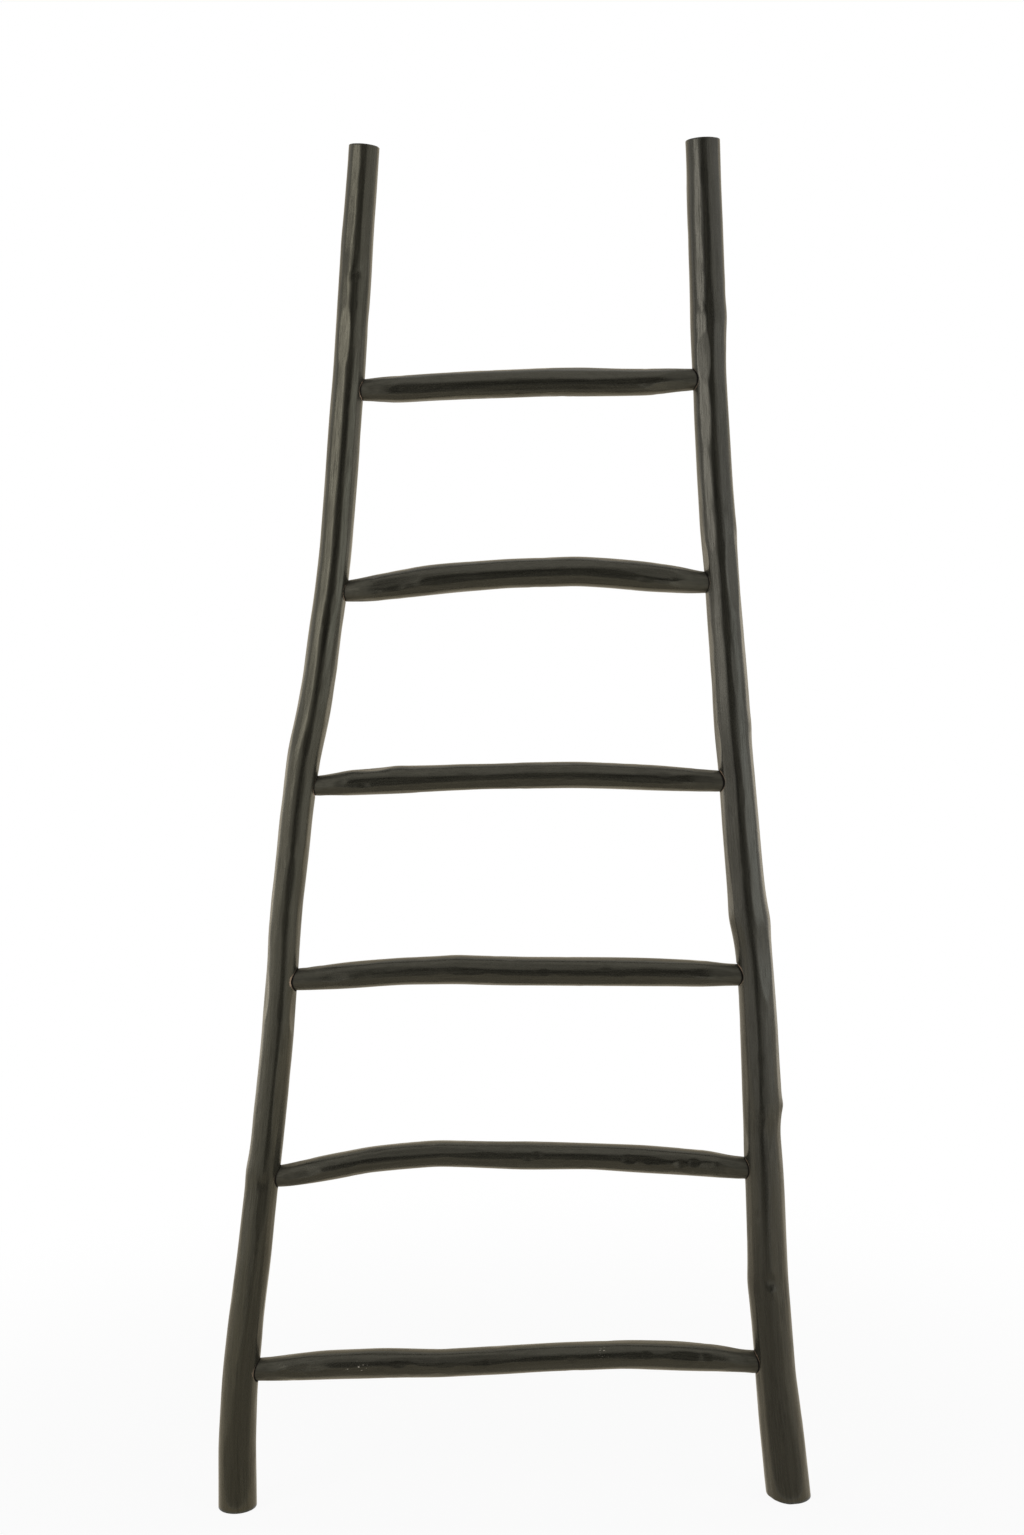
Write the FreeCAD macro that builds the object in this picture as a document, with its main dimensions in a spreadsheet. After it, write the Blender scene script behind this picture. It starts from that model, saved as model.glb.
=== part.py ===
import FreeCAD, Part
import math
import os
import Sketcher

# A rustic branch ladder: two natural poles that lean in towards the top, six branch rungs whose
# shaved tenons sit in blind sockets, and a headless brad through each tenon from the pole's back.
# Frame: +X to the right seen from the front, +Y to the back, +Z up. The soles stand on z = 0,
# and the origin is midway between the outer edges of the two soles.

# Driving dimensions in millimetres, slopes in degrees.
SIZES = (
    ("ladder_height", 1800, "sole to the highest rim"),
    ("foot_width", 783, "over the outer edges of both soles"),
    ("left_lean", 202, "how far the left pole's top stands in from its foot"),
    ("right_lean", 78, "how far the right pole's top stands in from its foot"),
    ("left_girth", 42, "ruling diameter of the left pole"),
    ("right_girth", 47, "ruling diameter of the right pole"),
    ("pole_sway", 14, "widest wander of a pole from its straight line"),
    ("left_top_slope", 10, "saw cut of the left top, falling inwards"),
    ("right_top_slope", 3, "saw cut of the right top, falling inwards"),
    ("rim_chamfer", 2, "easing of the sawn rims"),
    ("lowest_rung_height", 180, "floor to the lowest sockets"),
    ("top_rung_drop", 322, "ladder's top to the highest sockets"),
    ("rung_girth", 36, "ruling diameter of the rungs"),
    ("rung_bow", 20, "lift of a rung where its lift share is one"),
    ("tenon_girth", 25, "shaved end of a rung"),
    ("tenon_length", 28, "tenon behind the pole's crown"),
    ("tenon_neck", 2.5, "tenon in front of the pole's crown"),
    ("tenon_clearance", 0.15, "radial room round the tenon"),
    ("socket_end_gap", 1.5, "glue space behind the tenon"),
    ("socket_land", 3, "straight pole above and below a socket"),
    ("brad_width", 2, "square head end of the brad"),
    ("brad_tip_width", 1, "square tip of the brad"),
    ("brad_length", 25, "brad from end to tip"),
    ("brad_set", 1, "how deep the brad is punched below the pole's back"),
    ("brad_clearance", 0.05, "room round the brad"),
    ("cut_overrun", 10, "how far a cut runs on past the surface"),
)

# Rungs from the floor up: share of the climb from the lowest to the highest sockets, then rise of
# the right end and bow towards the back, both as shares of the rungs' bow.
RUNG_SHARES = (
    ("rung_6", 0.0, -0.18, -0.15),
    ("rung_5", 0.196, 0.0, 0.2),
    ("rung_4", 0.398, -0.26, -0.12),
    ("rung_3", 0.596, -0.2, 0.15),
    ("rung_2", 0.794, 0.1, -0.2),
    ("rung_1", 1.0, 0.23, 0.1),
)

# Pole sections from the sole up: station, wander to the right, wander to the back, girth.
# A station counts bays: 0 is the sole, 1 to 6 are the sockets from the floor up, 7 is the top.
# Wander is a share of the poles' sway, girth a share of the pole's ruling diameter.
LEFT_POLE_SHARES = (
    (0, 0.0, 0.0, 1.17),
    (0.45, -0.59, 0.03, 1.14),
    (1, -0.87, 0.06, 1.11),
    (2, -0.57, 0.18, 1.02),
    (3, -0.51, 0.28, 0.965),
    (3.4, -0.62, 0.27, 0.975),
    (4, -0.41, 0.2, 1.01),
    (4.19, -0.24, 0.16, 1.07),
    (4.37, 0.16, 0.1, 1.05),
    (4.6, 0.47, 0.05, 1.02),
    (5, 0.75, -0.03, 1.0),
    (6, 0.62, -0.16, 0.985),
    (6.5, 0.3, -0.12, 0.985),
    (7, 0.0, 0.0, 0.94),
)
RIGHT_POLE_SHARES = (
    (0, 0.0, 0.0, 1.22),
    (0.5, -0.24, -0.01, 1.2),
    (1, -0.49, -0.04, 1.1),
    (1.4, -0.61, -0.08, 1.12),
    (2, -0.32, -0.15, 1.05),
    (2.22, -0.29, -0.17, 0.99),
    (2.31, -0.09, -0.17, 1.09),
    (3, 0.0, -0.2, 0.995),
    (3.16, -0.03, -0.2, 1.01),
    (3.29, -0.22, -0.18, 1.115),
    (3.45, -0.34, -0.16, 1.03),
    (4, -0.57, -0.08, 0.99),
    (4.28, -0.61, -0.02, 1.015),
    (5, -0.76, 0.13, 0.94),
    (5.27, -0.84, 0.18, 1.0),
    (6, -0.73, 0.26, 0.925),
    (6.22, -0.54, 0.24, 0.995),
    (7, 0.0, 0.1, 0.94),
)

# Rung sections from the left neck to the right one: place along the rung, lift, girth.
# Lift is a share of the rungs' bow, girth a share of their ruling diameter.
BRANCH_SHARES = {
    "rung_1": (
        (0.02, 0.0, 0.82), (0.09, -0.03, 0.94), (0.32, 0.06, 0.985), (0.68, 0.05, 1.01),
        (0.87, -0.06, 0.945), (0.98, 0.0, 0.815),
    ),
    "rung_2": (
        (0.02, 0.05, 0.82), (0.08, 0.2, 0.94), (0.22, 0.58, 1.07), (0.45, 0.9, 1.03),
        (0.65, 0.92, 1.05), (0.84, 0.49, 1.06), (0.94, 0.18, 0.93), (0.98, 0.05, 0.81),
    ),
    "rung_3": (
        (0.015, 0.03, 0.77), (0.1, 0.16, 0.9), (0.2, 0.3, 0.985), (0.4, 0.45, 0.925),
        (0.64, 0.49, 0.945), (0.85, 0.23, 0.915), (0.98, 0.03, 0.79),
    ),
    "rung_4": (
        (0.015, 0.03, 0.8), (0.12, 0.25, 0.94), (0.25, 0.47, 0.945), (0.37, 0.55, 1.03),
        (0.8, 0.25, 1.0), (0.92, 0.11, 0.93), (0.98, 0.03, 0.8),
    ),
    "rung_5": (
        (0.015, 0.07, 0.8), (0.1, 0.55, 0.92), (0.19, 1.02, 0.925), (0.34, 1.37, 0.92),
        (0.53, 1.15, 1.0), (0.67, 1.01, 0.925), (0.78, 0.76, 0.98), (0.92, 0.36, 0.94),
        (0.985, 0.07, 0.8),
    ),
    "rung_6": (
        (0.015, 0.03, 0.82), (0.13, 0.22, 1.03), (0.25, 0.325, 1.035), (0.36, 0.27, 0.98),
        (0.55, 0.51, 0.99), (0.74, 0.66, 0.995), (0.85, 0.52, 1.03), (0.93, 0.33, 0.93),
        (0.985, 0.06, 0.8),
    ),
}

doc = FreeCAD.newDocument("branch_ladder")
sheet = doc.addObject("Spreadsheet::Sheet", "sizes")
for row, (name, value, note) in enumerate(SIZES, 1):
    sheet.set("A%d" % row, note)
    sheet.set("B%d" % row, str(value))
    sheet.setAlias("B%d" % row, name)
places = doc.addObject("App::VarSet", "places")
doc.recompute()


def keep(name, expression):
    """Hold a worked-out place under a name and return that name for other expressions."""
    places.addProperty("App::PropertyFloat", name)
    places.setExpression(name, expression)
    return "places." + name


def bind_place(item, prefix, place):
    for axis, expression in zip("xyz", place):
        item.setExpression(prefix + ".Base." + axis, expression)


def origin_plane(body, role):
    return next(feature for feature in body.Origin.OriginFeatures if feature.Role == role)


def round_sketch(body, name, role, offset, girth):
    """Four quarter arcs about the sketch's origin, on a body plane, moved along that plane's axes."""
    sketch = body.newObject("Sketcher::SketchObject", name)
    sketch.AttachmentSupport = [(origin_plane(body, role), "")]
    sketch.MapMode = "FlatFace"
    circle = Part.Circle()
    circle.Radius = sheet.rung_girth / 2
    quarter = math.pi / 2
    for arc in range(4):
        start = (arc - 0.5) * quarter
        sketch.addGeometry(Part.ArcOfCircle(circle, start, start + quarter))
    for arc, chord in enumerate(("Vertical", "Horizontal", "Vertical", "Horizontal")):
        sketch.addConstraint(Sketcher.Constraint("Coincident", arc, 3, -1, 1))
        sketch.addConstraint(Sketcher.Constraint(chord, arc, 1, arc, 2))
    for arc in range(3):
        sketch.addConstraint(Sketcher.Constraint("Coincident", arc, 2, arc + 1, 1))
    sketch.addConstraint(Sketcher.Constraint("Angle", 0, quarter))
    diameter = sketch.addConstraint(Sketcher.Constraint("Diameter", 0, 2 * circle.Radius))
    sketch.renameConstraint(diameter, "girth")
    sketch.setExpression("Constraints.girth", girth)
    bind_place(sketch, "AttachmentOffset", offset)
    return sketch


def branch_loft(body, name, sections):
    """The grown form: straight runs between round sections, as many as the branch has turns."""
    loft = body.newObject("PartDesign::AdditiveLoft", name)
    loft.Profile = sections[0]
    loft.Sections = sections[1:]
    loft.Ruled = True


def round_feature(body, kind, sketch, length, reverse):
    feature = body.newObject("PartDesign::" + kind, sketch.Name + "_" + kind.lower())
    feature.Profile = sketch
    feature.setExpression("Length", length)
    feature.Reversed = reverse


def brad_hole(body, name, x, tip, z):
    """A square hole along Y round a brad, from just before its tip out through the back."""
    width = "(sizes.brad_width + 2 * sizes.brad_clearance)"
    depth = "sizes.brad_clearance + sizes.brad_length + sizes.brad_set + sizes.cut_overrun"
    hole = body.newObject("PartDesign::SubtractiveBox", name)
    hole.setExpression("Length", width)
    hole.setExpression("Width", depth)
    hole.setExpression("Height", width)
    corner = (f"{x} - {width} / 2", f"{tip} - sizes.brad_clearance", f"{z} - {width} / 2")
    bind_place(hole, "Placement", corner)


class Seat:
    """Where a rung meets a pole: the pole's centre line, its crown and the brad behind it."""

    def __init__(self, name, inward, x, y, z, girth):
        self.x = keep(name + "_x", x)
        self.y = keep(name + "_y", y)
        self.z = keep(name + "_z", z)
        self.girth = keep(name + "_girth", girth)
        self.crown = keep(name + "_crown", f"{self.x} + {inward} * {self.girth} / 2")
        self.brad_x = keep(name + "_brad_x", f"{self.crown} - {inward} * sizes.tenon_length / 2")
        half = "sizes.tenon_length / 2"
        back = f"{self.y} + sqrt({half} * {self.girth} - ({half}) ^ 2)"
        self.brad_tip = keep(name + "_brad_tip", f"{back} - sizes.brad_set - sizes.brad_length")


def pole_level(side, station):
    """Height of a station: sole, sockets and top are the stops, and parts of a bay lie between."""
    climb = "(sizes.ladder_height - sizes.top_rung_drop - sizes.lowest_rung_height)"
    stops = ["0"]
    for _, climb_share, rise_share, _ in RUNG_SHARES:
        stop = f"sizes.lowest_rung_height + {climb} * {climb_share}"
        if side == "right":
            stop += f" + sizes.rung_bow * {rise_share}"
        stops.append(f"({stop})")
    stops.append("sizes.ladder_height")
    bay = int(station)
    part = round(station - bay, 3)
    if part == 0:
        return stops[bay]
    return f"((1 - {part}) * {stops[bay]} + {part} * {stops[bay + 1]})"


def make_pole(side, inward, shares):
    """One pole with its sockets and brad holes; returns the body and its seats from the floor up."""
    body = doc.addObject("PartDesign::Body", side + "_stile")
    ruling = f"sizes.{side}_girth"
    slope = f"sizes.{side}_top_slope"
    foot = f"{inward} * ({ruling} * {shares[0][3]} - sizes.foot_width) / 2"
    top_station = shares[-1][0]
    land = "(sizes.tenon_girth / 2 + sizes.tenon_clearance + sizes.socket_land)"
    sections = []
    seats = []

    def add_section(name, x, y, z, girth):
        sections.append(round_sketch(body, f"{side}_{name}", "XY_Plane", (x, y, z), girth))

    for number, (station, wander, depth, girth_share) in enumerate(shares):
        girth = f"{ruling} * {girth_share}"
        rim = f"({girth} - 2 * sizes.rim_chamfer)"
        sway = f"sizes.pole_sway * {wander}"
        lean = f"{inward} * sizes.{side}_lean / sizes.ladder_height"
        level = pole_level(side, station)
        x = f"{foot} + {lean} * {level} + {sway}"
        y = f"sizes.pole_sway * {depth}"
        if station == 0:
            add_section("sole", x, y, "0", rim)
            add_section("sole_edge", x, y, "sizes.rim_chamfer", girth)
        elif station == top_station:
            top = f"sizes.ladder_height - {rim} / 2 * sin({slope})"
            add_section("top_edge", x, y, top + " - sizes.rim_chamfer", girth)
            add_section("top", x, y, top, rim)
        elif station == int(station):
            seat = Seat(f"{side}_seat_{station}", inward, x, y, level, girth)
            add_section(f"below_{station}", f"{seat.x} - {lean} * {land}", y, f"{seat.z} - {land}", girth)
            add_section(f"above_{station}", f"{seat.x} + {lean} * {land}", y, f"{seat.z} + {land}", girth)
            seats.append(seat)
        else:
            add_section(f"section_{number}", x, y, level, girth)
    for section in sections[-2:]:
        section.AttachmentOffset.Rotation = FreeCAD.Rotation(FreeCAD.Vector(0, inward, 0), 0)
        section.setExpression("AttachmentOffset.Rotation.Angle", slope)
    branch_loft(body, side + "_pole", sections)

    socket_girth = "sizes.tenon_girth + 2 * sizes.tenon_clearance"
    socket_depth = "(sizes.tenon_length + sizes.socket_end_gap)"
    for number, seat in enumerate(seats, 1):
        offset = (seat.y, seat.z, f"{seat.crown} - {inward} * {socket_depth}")
        socket = round_sketch(body, f"{side}_socket_{number}", "YZ_Plane", offset, socket_girth)
        round_feature(body, "Pocket", socket, socket_depth + " + sizes.cut_overrun", inward > 0)
        brad_hole(body, f"{side}_brad_hole_{number}", seat.brad_x, seat.brad_tip, seat.z)
    return body, seats


def make_rung(name, back_share, shares, left, right):
    """One branch between two seats, in its own frame: x = 0 at the left pole's crown."""
    body = doc.addObject("PartDesign::Body", name)
    bind_place(body, "Placement", (left.crown, left.y, left.z))
    span = keep(name + "_span", f"{right.crown} - {left.crown}")
    drift = keep(name + "_drift", f"{right.y} - {left.y}")
    rise = keep(name + "_rise", f"{right.z} - {left.z}")
    tenon = "sizes.tenon_girth"
    rows = [(0, 0, tenon)]
    rows += [(along, lift, f"sizes.rung_girth * {girth}") for along, lift, girth in shares]
    rows.append((1, 0, tenon))
    sections = []
    for number, (along, lift, girth) in enumerate(rows):
        x = f"sizes.tenon_neck + {along} * ({span} - 2 * sizes.tenon_neck)"
        y = f"{along} * {drift} + sizes.rung_bow * {back_share} * sin(180 * {along})"
        z = f"{along} * {rise} + sizes.rung_bow * {lift}"
        sections.append(round_sketch(body, f"{name}_section_{number}", "YZ_Plane", (y, z, x), girth))
    branch_loft(body, name + "_branch", sections)

    ends = (
        ("left", left, "0", "0", "sizes.tenon_neck"),
        ("right", right, drift, rise, f"{span} - sizes.tenon_neck"),
    )
    for side, seat, y, z, neck in ends:
        sketch = round_sketch(body, f"{name}_{side}_tenon", "YZ_Plane", (y, z, neck), tenon)
        round_feature(body, "Pad", sketch, "sizes.tenon_neck + sizes.tenon_length", side == "left")
        brad_x = f"{seat.brad_x} - {left.crown}"
        brad_hole(body, f"{name}_{side}_brad_hole", brad_x, f"{seat.brad_tip} - {left.y}", z)
    return body


def make_brads(side, seats):
    """The brads of one pole: square, headless, tapering to the tip, lying along Y."""
    brads = []
    for number, seat in enumerate(seats, 1):
        brad = doc.addObject("Part::Wedge", f"{side}_brad_{number}")
        for axis in "XZ":
            brad.setExpression(axis + "min", "0 - sizes.brad_tip_width / 2")
            brad.setExpression(axis + "max", "sizes.brad_tip_width / 2")
            brad.setExpression(axis + "2min", "0 - sizes.brad_width / 2")
            brad.setExpression(axis + "2max", "sizes.brad_width / 2")
        brad.Ymin = 0
        brad.setExpression("Ymax", "sizes.brad_length")
        bind_place(brad, "Placement", (seat.brad_x, seat.brad_tip, seat.z))
        brads.append(brad)
    group = doc.addObject("Part::Compound", side + "_tenon_brads")
    group.Links = brads
    return group


left_stile, left_seats = make_pole("left", 1, LEFT_POLE_SHARES)
right_stile, right_seats = make_pole("right", -1, RIGHT_POLE_SHARES)
nodes = [left_stile, right_stile]
for (name, _, _, back_share), left, right in zip(RUNG_SHARES, left_seats, right_seats):
    nodes.append(make_rung(name, back_share, BRANCH_SHARES[name], left, right))
nodes.append(make_brads("left", left_seats))
nodes.append(make_brads("right", right_seats))
doc.recompute()

cuts = ("PartDesign::Pocket", "PartDesign::SubtractiveBox")
for item in doc.Objects:
    if "Invalid" in item.State or "Error" in item.State:
        raise RuntimeError("failed to build: " + item.Label)
    if item.TypeId in cuts and not 0 < item.Shape.Volume < item.BaseFeature.Shape.Volume:
        raise RuntimeError("bad cut: " + item.Label)
    if item.TypeId == "Sketcher::SketchObject":
        around = math.pi * item.getDatum("girth").Value
        if not math.isclose(item.Shape.Length, around, rel_tol=1e-6):
            raise RuntimeError("not round: " + item.Label)
for node in nodes:
    if node.Shape.isNull() or not node.Shape.isValid():
        raise RuntimeError("bad shape: " + node.Label)

os.makedirs("parts", exist_ok=True)
for node in nodes:
    node.Shape.exportStep(f"parts/{node.Label}.step")
    print(f"{node.Label}: {len(node.Shape.Solids)} solid(s), {node.Shape.Volume:.0f} cubic mm")
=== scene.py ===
import math
import random

import bmesh
import bpy
import numpy as np
from mathutils import Matrix, Vector


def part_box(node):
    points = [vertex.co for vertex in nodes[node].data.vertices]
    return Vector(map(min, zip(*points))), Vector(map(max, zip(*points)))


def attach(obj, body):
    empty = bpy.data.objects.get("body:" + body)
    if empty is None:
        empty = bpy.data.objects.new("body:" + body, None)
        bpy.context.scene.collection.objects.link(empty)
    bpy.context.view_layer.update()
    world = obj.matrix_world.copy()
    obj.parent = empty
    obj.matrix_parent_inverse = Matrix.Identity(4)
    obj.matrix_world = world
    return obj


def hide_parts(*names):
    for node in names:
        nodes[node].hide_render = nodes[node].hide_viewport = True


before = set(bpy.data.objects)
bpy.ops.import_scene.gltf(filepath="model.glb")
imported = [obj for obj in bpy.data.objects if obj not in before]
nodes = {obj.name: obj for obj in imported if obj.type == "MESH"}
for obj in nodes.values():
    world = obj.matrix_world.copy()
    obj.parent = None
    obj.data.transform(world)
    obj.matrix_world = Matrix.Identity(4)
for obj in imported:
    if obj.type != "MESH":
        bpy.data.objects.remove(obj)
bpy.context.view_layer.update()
scene = bpy.context.scene
mm = 0.001
weld = 1e-6                                              # corners nearer than this are one corner
print("frame loaded:", len(nodes), "nodes")


# Reading the solids: where each pole and branch runs and how thick it is

def mergedCopy(name):
    bm = bmesh.new()
    bm.from_mesh(nodes[name].data)
    bmesh.ops.remove_doubles(bm, verts=bm.verts, dist=weld)
    return bm


def sliceNode(name, normal, places):
    # lowest and highest corner of the cut at each place, working along the normal
    bm = mergedCopy(name)
    lows = []
    highs = []
    for place in places:
        geom = bm.verts[:] + bm.edges[:] + bm.faces[:]
        cut = bmesh.ops.bisect_plane(bm, geom=geom, dist=1e-7, plane_co=normal * place,
                                     plane_no=normal, clear_inner=True)
        ring = np.array([v.co for v in cut["geom_cut"] if isinstance(v, bmesh.types.BMVert)])
        lows.append(ring.min(axis=0))
        highs.append(ring.max(axis=0))
    bm.free()
    return np.array(lows), np.array(highs)


def softened(places, values, span):
    # rounds off the straight runs between the CAD sections, and keeps the ends
    reach = int(round(span / (places[1] - places[0])))
    window = np.hanning(2 * reach + 3)[1:-1]
    head = 2 * values[0] - values[reach:0:-1]
    tail = 2 * values[-1] - values[-2:-reach - 2:-1]
    return np.convolve(np.concatenate((head, values, tail)), window / window.sum(), "valid")


class Limb:
    # centre line and radius of a pole (along z) or a branch (along x)
    def __init__(self, along, side, depth, radius):
        self.along = along
        self.side = side
        self.depth = depth
        self.radius = radius

    def at(self, where):
        return tuple(np.interp(where, self.along, run) for run in (self.side, self.depth, self.radius))


def smoothstep(low, high, value):
    t = np.clip((value - low) / (high - low), 0, 1)
    return t * t * (3 - 2 * t)


# Hand-shaving: flats, knots and the slow waves of grown wood

shaveShape = {"widest": 1.1, "ridge": 0.35}              # radians to either side, mm of soft ridge
knotSquash = 0.8                                         # a knot's width against its length
growth = {"waves": 16, "folds": (1, 2, 2, 3, 3, 4, 5), "phase": 6.28, "calm": 4}


def wrapped(turn):
    return (turn + math.pi) % (2 * math.pi) - math.pi


def shaved(turn, along, radius, shaves):
    # each shave is a flat that starts and ends shallow: place, turn, reach, depth
    out = radius.copy()
    for place, facing, reach, depth in shaves:
        away = (along - place) / reach
        swing = wrapped(turn - facing)
        hit = (np.abs(away) < 1) & (np.abs(swing) < shaveShape["widest"])
        fade = 1 - away[hit] ** 2
        flat = (radius[hit] - depth * fade) / np.cos(swing[hit])
        edge = shaveShape["ridge"] * mm * fade + 1e-9    # softens the ridge, and never divides by nothing
        mix = np.maximum(edge - np.abs(out[hit] - flat), 0) / edge
        out[hit] = np.minimum(out[hit], flat) - mix * mix * edge / 4
    return out


def knotted(turn, along, radius, knots):
    # each knot is a lump, or a pit where its rise is negative: place, turn, spread, rise
    out = np.zeros_like(radius)
    for place, facing, spread, rise in knots:
        swing = wrapped(turn - facing) * radius
        out += rise * np.exp(-((along - place) / spread) ** 2 - (swing / (knotSquash * spread)) ** 2)
    return out


def grownWaves(turn, along, rng, detail):
    shortest, longest = detail["waveLengths"]
    out = np.zeros_like(turn)
    for _ in range(growth["waves"]):
        folds = rng.choice(growth["folds"])
        length = rng.uniform(shortest * mm, longest * mm)
        phase = rng.uniform(0, growth["phase"])
        out += np.sin(folds * turn + 2 * math.pi * along / length + phase) / folds
    return out * (detail["wave"] * mm) / growth["calm"]


def randomShaves(rng, start, end, kinds):
    # each kind: how many, how far past the start they begin, reach, depth
    rows = []
    for count, skip, reach, depth in kinds:
        for _ in range(count):
            rows.append((rng.uniform(start + skip * mm, end), rng.uniform(-math.pi, math.pi),
                         rng.uniform(*reach) * mm, rng.uniform(*depth) * mm))
    return rows


# Shared modelling steps

endCut = {"corners": 8, "rimSteps": 3, "rings": 3, "ringWidth": 4}
smoothAngle = 38


def roundBillet(segments, rings):
    # a straight round of radius one from 0 to 1, with rings to shape
    bm = bmesh.new()
    bmesh.ops.create_cone(bm, cap_ends=True, segments=segments, radius1=1, radius2=1, depth=1,
                          matrix=Matrix.Translation((0, 0, 0.5)))
    upright = [e for e in bm.edges if abs(e.verts[0].co.z - e.verts[1].co.z) > 0.5]
    bmesh.ops.subdivide_edges(bm, edges=upright, cuts=rings)
    return bm


def billetGrid(bm):
    co = np.array([v.co for v in bm.verts])
    return np.arctan2(co[:, 1], co[:, 0]), co[:, 2]


def setPlaces(bm, places):
    for vert, place in zip(bm.verts, places):
        vert.co = place


def endFaces(bm):
    return [f for f in bm.faces if len(f.verts) > endCut["corners"]]


def finishEnds(bm, rim):
    # eases the sawn rims, where asked, and gives the sawn faces rings of their own
    if rim:
        edges = {e for cap in endFaces(bm) for e in cap.edges}
        bmesh.ops.bevel(bm, geom=list(edges), offset=rim, offset_type="OFFSET",
                        segments=endCut["rimSteps"], profile=0.5, affect="EDGES", material=-1)
    for cap in endFaces(bm):
        for _ in range(endCut["rings"]):
            bmesh.ops.inset_region(bm, faces=[cap], thickness=endCut["ringWidth"] * mm,
                                   use_even_offset=False)
        bmesh.ops.poke(bm, faces=[cap])


def newPiece(name, bm):
    mesh = bpy.data.meshes.new(name)
    bmesh.ops.recalc_face_normals(bm, faces=bm.faces)
    bm.to_mesh(mesh)
    bm.free()
    piece = bpy.data.objects.new(name, mesh)
    scene.collection.objects.link(piece)
    return piece


def carve(piece, cutters):
    # takes the cutters out of the piece for good
    tool = newPiece(piece.name + "_cutter", cutters)
    cut = piece.modifiers.new("carve", "BOOLEAN")
    cut.operation = "DIFFERENCE"
    cut.solver = "EXACT"
    cut.object = tool
    graph = bpy.context.evaluated_depsgraph_get()
    carved = bpy.data.meshes.new_from_object(piece.evaluated_get(graph))
    bm = bmesh.new()
    bm.from_mesh(carved)
    bmesh.ops.dissolve_degenerate(bm, dist=weld, edges=bm.edges)
    bm.to_mesh(carved)
    bm.free()
    piece.modifiers.remove(cut)
    plain = piece.data
    piece.data = carved
    bpy.data.meshes.remove(plain)
    bpy.data.objects.remove(tool)
    carved.name = piece.name


def vertPlaces(mesh):
    flat = np.empty(len(mesh.vertices) * 3)
    mesh.vertices.foreach_get("co", flat)
    return flat.reshape(-1, 3)


def setLayer(mesh, name, values):
    kind, field = ("FLOAT_VECTOR", "vector") if values.ndim == 2 else ("FLOAT", "value")
    layer = mesh.attributes.new(name, kind, "POINT")
    layer.data.foreach_set(field, values.astype(np.float32).ravel())


def smoothShade(mesh):
    mesh.shade_smooth()
    mesh.set_sharp_from_angle(angle=math.radians(smoothAngle))


# Poles

poleDetail = {
    "segments": 88, "ringStep": 3.0, "rim": 0.9,
    # where the solid is cut to read it, and over how many cuts its ends are carried on
    "firstCut": 4, "topClear": 12, "cutStep": 6, "endRun": 5,
    "softSpan": 26, "swell": 0.85,                       # swell is what the shaving takes off again
    # how far the top's saw cut and the worn sole reach along the pole
    "headRun": 50, "soleRun": 30, "soleCurve": 1.5,
    "wave": 0.45, "waveLengths": (90, 400),
    # long flats, short flats and chatter marks: how many, first height, reach, depth
    "shaving": [(24, 50, (90, 220), (0.3, 1.0)), (36, 30, (25, 70), (0.25, 0.8)),
                (240, 20, (8, 24), (0.1, 0.4))],
}

leftPole = {
    "node": "left_stile", "outer": -1, "seed": 11, "shift": 0.0,
    "topSlope": 6.0, "headLift": 2.5, "soleWear": 0.0,
    # height, across the front (-1 left, 1 right), reach, depth
    "shaves": [
        (1762, -0.40, 60, 0.9), (1705, -0.46, 55, 1.0), (1655, -0.52, 42, 1.0), (1598, -0.50, 34, 0.8),
        (1545, -0.42, 46, 2.0), (1480, -0.46, 60, 0.8), (1400, -0.44, 110, 1.0), (1250, -0.46, 120, 0.9),
        (1690, 0.55, 90, 0.7), (1300, 0.55, 110, 0.6), (1080, 0.5, 110, 0.7), (1080, -0.45, 90, 0.8),
        (860, -0.55, 90, 0.7), (676, -0.9, 34, 1.6), (656, 0.92, 30, 1.4), (560, 0.5, 80, 0.8),
        (400, 0.25, 48, 1.2), (390, -0.6, 60, 0.9), (250, -0.3, 90, 0.7),
    ],
    # height, across, spread, rise
    "knots": [
        (1642, -0.28, 13, 1.1), (1632, -0.10, 7, 0.9), (1627, 0.08, 8, -1.5), (1676, -0.95, 24, 0.6),
        (755, -0.96, 18, 0.8), (446, -0.92, 18, 1.2), (432, 0.1, 8, -0.9),
    ],
    # height, how far the grown line stands to the right of the straight CAD runs
    "drift": [
        (0, 0.0), (170, -0.2), (242, -0.8), (310, 0.0), (400, 0.0), (445, 0.4), (490, 1.4), (557, 1.9),
        (625, 2.6), (690, 0.2), (736, -0.5), (870, -0.5), (917, -1.2), (960, 0.0), (1180, 0.0),
        (1225, 1.0), (1270, 2.3), (1340, 1.6), (1500, 0.0), (1800, 0.0),
    ],
}

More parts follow.
